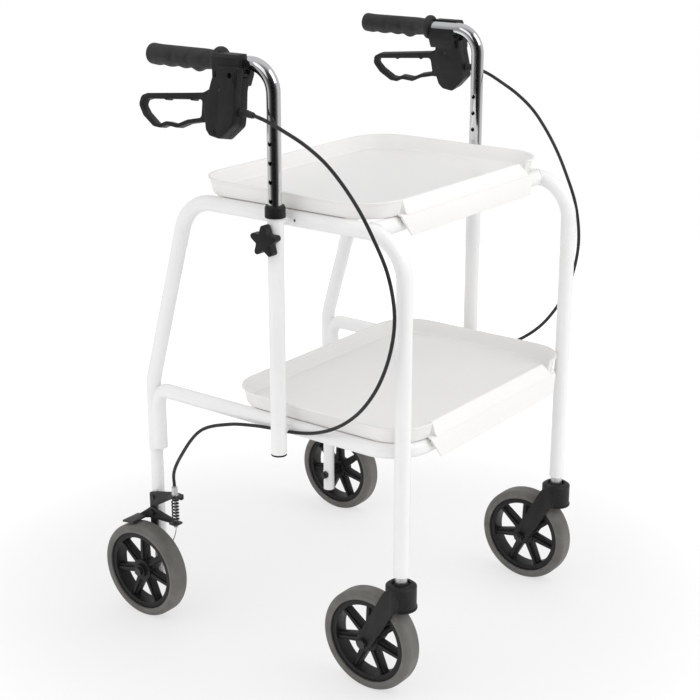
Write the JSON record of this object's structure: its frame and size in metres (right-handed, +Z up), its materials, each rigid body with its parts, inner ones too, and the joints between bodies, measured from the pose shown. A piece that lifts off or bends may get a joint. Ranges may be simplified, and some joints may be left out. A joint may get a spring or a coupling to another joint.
{
  "type": "indoor walker with trays",
  "caption": "Wheeled indoor walker: white bent-tube frame, lift-off trays, height-adjustable chrome handles with loop brake levers, swivel front casters and shoe-braked rear wheels.",
  "frame": {"origin": "centre of the bounding box, on the floor", "axes": "+Z up, +X the user's left, +Y towards the user, so the walker rolls forward along -Y"},
  "size_m": [0.5806, 0.556, 0.885],
  "materials": {
    "frame_paint": "gloss white powder coat",
    "chrome_tube": "polished chrome plate",
    "zinc_steel": "bright zinc plate",
    "black_metal": "satin black coat",
    "black_plastic": "fine moulded grain",
    "black_rubber": "soft matt",
    "tyre_grey": "smooth grey tread",
    "tray_plastic": "smooth semi-gloss"
  },
  "bodies": {
    "frame": {"side_hoop_right": "frame_paint", "side_hoop_left": "frame_paint", "upper_front_crossbar": "frame_paint", "upper_rear_crossbar": "frame_paint", "shelf_frame": "frame_paint", "shelf_rear_crossbar": "frame_paint", "rear_leg_tube_right": "frame_paint", "rear_leg_tube_left": "frame_paint", "handle_socket_right": "frame_paint", "handle_socket_left": "frame_paint", "socket_collars": "black_plastic", "tube_end_plugs": "black_plastic", "standoffs": "frame_paint", "brake_bracket_right": "black_metal", "brake_bracket_left": "black_metal", "brake_bolts": "black_metal", "cable_adjusters": "zinc_steel", "rear_axle_bolts": "black_metal", "rear_axle_spacers": "black_plastic", "caster_stems": "zinc_steel", "brake_spring_right": "black_metal", "brake_spring_left": "black_metal", "brake_cable_right": "black_rubber", "brake_cable_left": "black_rubber"},
    "handle_right": {"handle_stem_right": "chrome_tube", "grip_right": "black_rubber", "housing_outer_right": "black_plastic", "housing_inner_right": "black_plastic", "housing_screws_right": "zinc_steel", "lever_pin_right": "zinc_steel", "cable_boot_right": "black_rubber"},
    "lever_right": {"brake_lever_right": "black_plastic"},
    "knob_right": {"star_knob_right": "black_plastic"},
    "brake_right": {"brake_arm_right": "black_metal", "wire_stop_right": "zinc_steel"},
    "caster_right": {"caster_fork_right": "black_plastic", "caster_axle_right": "black_metal"},
    "caster_wheel_right": {"caster_hub_right": "black_plastic", "caster_tyre_right": "tyre_grey"},
    "rear_wheel_right": {"rear_hub_right": "black_plastic", "rear_tyre_right": "tyre_grey"},
    "handle_left": {"handle_stem_left": "chrome_tube", "grip_left": "black_rubber", "housing_outer_left": "black_plastic", "housing_inner_left": "black_plastic", "housing_screws_left": "zinc_steel", "lever_pin_left": "zinc_steel", "cable_boot_left": "black_rubber"},
    "lever_left": {"brake_lever_left": "black_plastic"},
    "knob_left": {"star_knob_left": "black_plastic"},
    "brake_left": {"brake_arm_left": "black_metal", "wire_stop_left": "zinc_steel"},
    "caster_left": {"caster_fork_left": "black_plastic", "caster_axle_left": "black_metal"},
    "caster_wheel_left": {"caster_hub_left": "black_plastic", "caster_tyre_left": "tyre_grey"},
    "rear_wheel_left": {"rear_hub_left": "black_plastic", "rear_tyre_left": "tyre_grey"},
    "tray_upper": {"upper_tray": "tray_plastic"},
    "tray_lower": {"lower_tray": "tray_plastic"}
  },
  "joints": [
    {"name": "handle_slide_right", "type": "slide", "parent": "frame", "child": "handle_right", "axis": [0, 0, 1], "range_m": [-0.127, 0.0508], "deforming": ["brake_cable_right"]},
    {"name": "lever_swing_right", "type": "hinge", "parent": "handle_right", "child": "lever_right", "pos_m": [-0.2654, -0.0019, 0.8308], "axis": [0.9806, 0, -0.196], "range_deg": [0, 14], "stiffness_Nm_per_rad": 1.5, "springref_deg": -5.73},
    {"name": "brake_press_right", "type": "hinge", "parent": "frame", "child": "brake_right", "pos_m": [-0.2297, 0.203, 0.162], "axis": [1, 0, 0], "range_deg": [-6.61, 0], "stiffness_Nm_per_rad": 3, "springref_deg": 5.73, "deforming": ["brake_spring_right"]},
    {"name": "knob_turn_right", "type": "hinge", "parent": "frame", "child": "knob_right", "pos_m": [-0.2463, -0.0655, 0.6398], "axis": [1, 0, 0], "continuous": true},
    {"name": "caster_swivel_right", "type": "hinge", "parent": "frame", "child": "caster_right", "pos_m": [-0.215, -0.253, 0.16], "axis": [0, 0, 1], "continuous": true},
    {"name": "caster_roll_right", "type": "hinge", "parent": "caster_right", "child": "caster_wheel_right", "pos_m": [-0.215, -0.203, 0.075], "axis": [1, 0, 0], "continuous": true},
    {"name": "rear_roll_right", "type": "hinge", "parent": "frame", "child": "rear_wheel_right", "pos_m": [-0.2488, 0.203, 0.075], "axis": [1, 0, 0], "continuous": true},
    {"name": "handle_slide_left", "type": "slide", "parent": "frame", "child": "handle_left", "axis": [0, 0, 1], "range_m": [-0.127, 0.0508], "deforming": ["brake_cable_left"]},
    {"name": "lever_swing_left", "type": "hinge", "parent": "handle_left", "child": "lever_left", "pos_m": [0.2654, -0.0019, 0.8308], "axis": [0.9806, 0, 0.196], "range_deg": [0, 14], "stiffness_Nm_per_rad": 1.5, "springref_deg": -5.73},
    {"name": "brake_press_left", "type": "hinge", "parent": "frame", "child": "brake_left", "pos_m": [0.2297, 0.203, 0.162], "axis": [1, 0, 0], "range_deg": [-6.61, 0], "stiffness_Nm_per_rad": 3, "springref_deg": 5.73, "deforming": ["brake_spring_left"]},
    {"name": "knob_turn_left", "type": "hinge", "parent": "frame", "child": "knob_left", "pos_m": [0.2463, -0.0655, 0.6398], "axis": [1, 0, 0], "continuous": true},
    {"name": "caster_swivel_left", "type": "hinge", "parent": "frame", "child": "caster_left", "pos_m": [0.215, -0.253, 0.16], "axis": [0, 0, 1], "continuous": true},
    {"name": "caster_roll_left", "type": "hinge", "parent": "caster_left", "child": "caster_wheel_left", "pos_m": [0.215, -0.203, 0.075], "axis": [1, 0, 0], "continuous": true},
    {"name": "rear_roll_left", "type": "hinge", "parent": "frame", "child": "rear_wheel_left", "pos_m": [0.2488, 0.203, 0.075], "axis": [1, 0, 0], "continuous": true},
    {"name": "upper_tray_lift", "type": "slide", "parent": "frame", "child": "tray_upper", "axis": [0, 0, 1], "range_m": [0, 0.06]},
    {"name": "lower_tray_lift", "type": "slide", "parent": "frame", "child": "tray_lower", "axis": [0, 0, 1], "range_m": [0, 0.06]}
  ],
  "couplings": [
    {"joint": "brake_press_right", "follows": "lever_swing_right", "ratio": -0.4716},
    {"joint": "brake_press_left", "follows": "lever_swing_left", "ratio": -0.4716}
  ]
}
